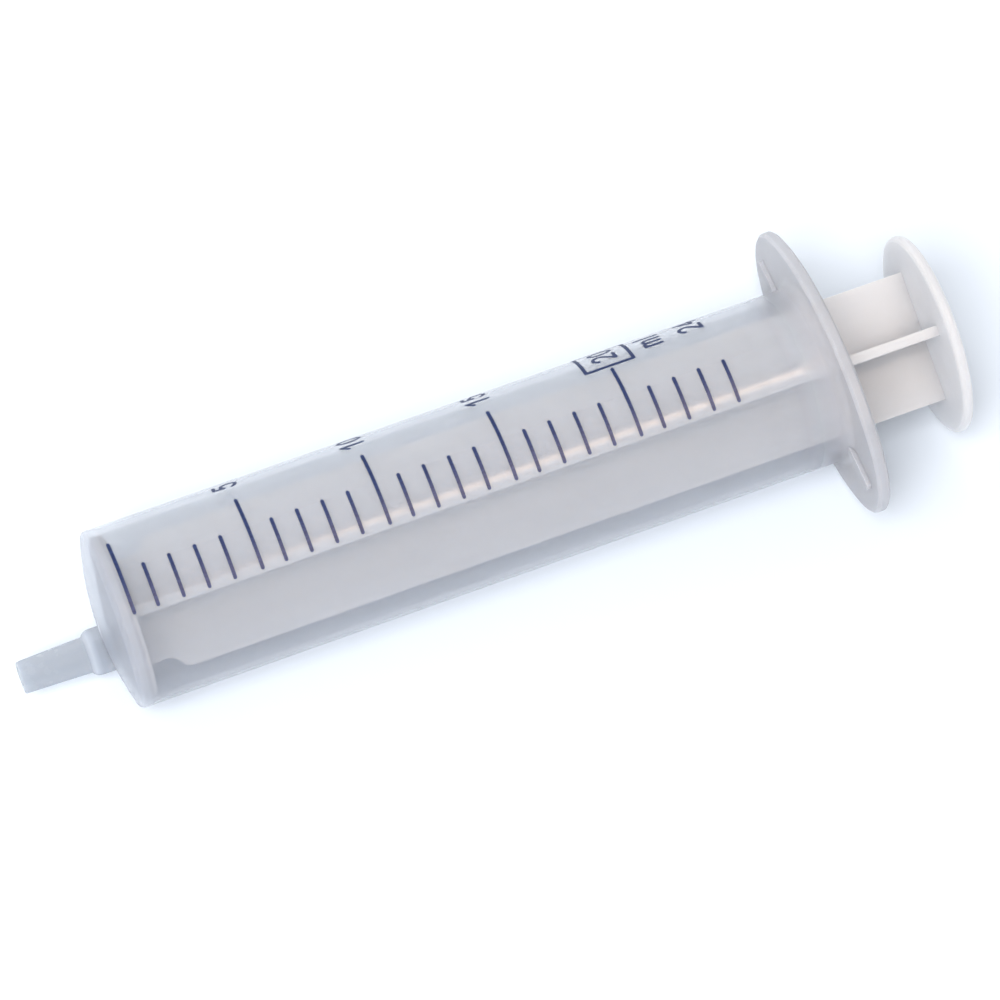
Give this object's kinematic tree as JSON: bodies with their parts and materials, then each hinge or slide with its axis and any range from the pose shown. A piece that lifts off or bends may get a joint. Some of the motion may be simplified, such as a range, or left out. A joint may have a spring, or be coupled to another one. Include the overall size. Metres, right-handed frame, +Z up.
{
  "type": "disposable syringe",
  "caption": "Disposable syringe lying on its side: milky see-through barrel with a printed scale, oval finger flange and off-centre slip nozzle, and a finned plunger pushed home.",
  "frame": {"origin": "centre of the overall box in X and Y, at the surface the syringe lies on", "axes": "+X along the barrel towards the thumb disc (the axis rises 1.13 degrees that way as it lies), nozzle end towards -X, +Y along the finger wings, +Z up, the side of the printed scale"},
  "size_m": [0.118, 0.0386, 0.0256],
  "materials": {
    "barrel_plastic": "smooth milky see-through polypropylene",
    "plunger_plastic": "natural milky polyethylene, satin"
  },
  "bodies": {
    "barrel": {"barrel": "barrel_plastic"},
    "plunger": {"plunger": "plunger_plastic"}
  },
  "joints": [
    {"name": "plunger_slide", "type": "slide", "parent": "barrel", "child": "plunger", "axis": [0.9998, 0, 0.0197], "range_m": [0, 0.0789]}
  ]
}
